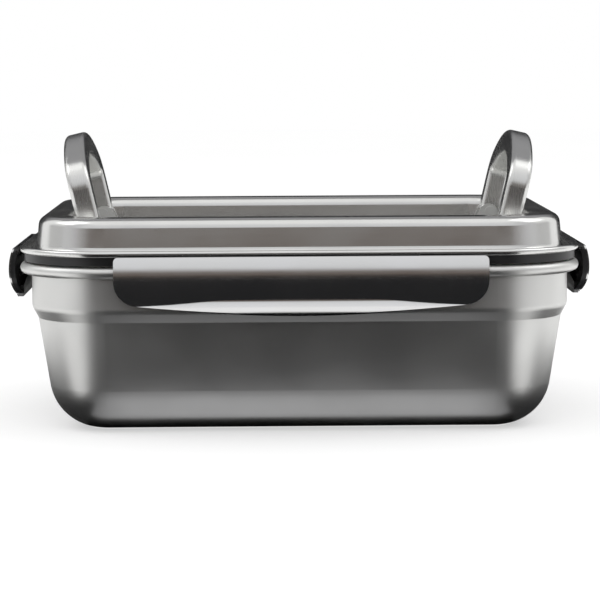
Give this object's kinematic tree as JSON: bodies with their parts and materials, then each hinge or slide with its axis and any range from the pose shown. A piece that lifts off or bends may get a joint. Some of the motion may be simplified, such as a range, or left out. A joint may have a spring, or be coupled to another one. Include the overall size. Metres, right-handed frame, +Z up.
{
  "type": "lunch box",
  "caption": "Rectangular stainless steel lunch box with a lift-off sealed lid, snap latches on every side and arched handles that fold down into the lid.",
  "frame": {"origin": "middle of the base, on the surface that the box stands on", "axes": "+Z up, X along the long side, the front latch faces -Y"},
  "size_m": [0.2738, 0.1958, 0.1359],
  "materials": {
    "box_steel": "satin stainless",
    "lid_steel": "satin stainless",
    "latch_steel": "polished stainless",
    "handle_steel": "satin stainless",
    "bracket_steel": "plain stainless",
    "pin_steel": "drawn stainless",
    "frame_plastic": "moulded, half gloss",
    "latch_plastic": "moulded, half gloss",
    "gasket_silicone": "matte silicone"
  },
  "bodies": {
    "box": {"box_body": "box_steel"},
    "lid": {"lid_pan": "lid_steel", "lid_frame": "frame_plastic", "lid_gasket": "gasket_silicone", "front_latch_pin": "pin_steel", "back_latch_pin": "pin_steel", "left_latch_pin": "pin_steel", "right_latch_pin": "pin_steel", "left_front_bracket": "bracket_steel", "left_front_pivot_pin": "pin_steel", "left_rear_bracket": "bracket_steel", "left_rear_pivot_pin": "pin_steel", "right_front_bracket": "bracket_steel", "right_front_pivot_pin": "pin_steel", "right_rear_bracket": "bracket_steel", "right_rear_pivot_pin": "pin_steel"},
    "latch_front": {"front_latch": "latch_plastic", "front_latch_plate": "latch_steel"},
    "latch_back": {"back_latch": "latch_plastic", "back_latch_plate": "latch_steel"},
    "latch_left": {"left_latch": "latch_plastic", "left_latch_plate": "latch_steel"},
    "latch_right": {"right_latch": "latch_plastic", "right_latch_plate": "latch_steel"},
    "handle_left": {"left_handle": "handle_steel"},
    "handle_right": {"right_handle": "handle_steel"}
  },
  "joints": [
    {"name": "lid_lift", "type": "slide", "parent": "box", "child": "lid", "axis": [0, 0, 1], "range_m": [0, 0.12]},
    {"name": "front_latch_hinge", "type": "hinge", "parent": "lid", "child": "latch_front", "pos_m": [0, -0.09335, 0.0817], "axis": [-1, 0, 0], "range_deg": [-10, 105]},
    {"name": "back_latch_hinge", "type": "hinge", "parent": "lid", "child": "latch_back", "pos_m": [0, 0.09335, 0.0817], "axis": [1, 0, 0], "range_deg": [-10, 105]},
    {"name": "left_latch_hinge", "type": "hinge", "parent": "lid", "child": "latch_left", "pos_m": [-0.13235, 0, 0.0817], "axis": [0, 1, 0], "range_deg": [-10, 105]},
    {"name": "right_latch_hinge", "type": "hinge", "parent": "lid", "child": "latch_right", "pos_m": [0.13235, 0, 0.0817], "axis": [0, -1, 0], "range_deg": [-10, 105]},
    {"name": "left_handle_fold", "type": "hinge", "parent": "lid", "child": "handle_left", "pos_m": [-0.09787, 0, 0.09325], "axis": [0, 1, 0], "range_deg": [0, 103]},
    {"name": "right_handle_fold", "type": "hinge", "parent": "lid", "child": "handle_right", "pos_m": [0.09787, 0, 0.09325], "axis": [0, -1, 0], "range_deg": [0, 103]}
  ]
}
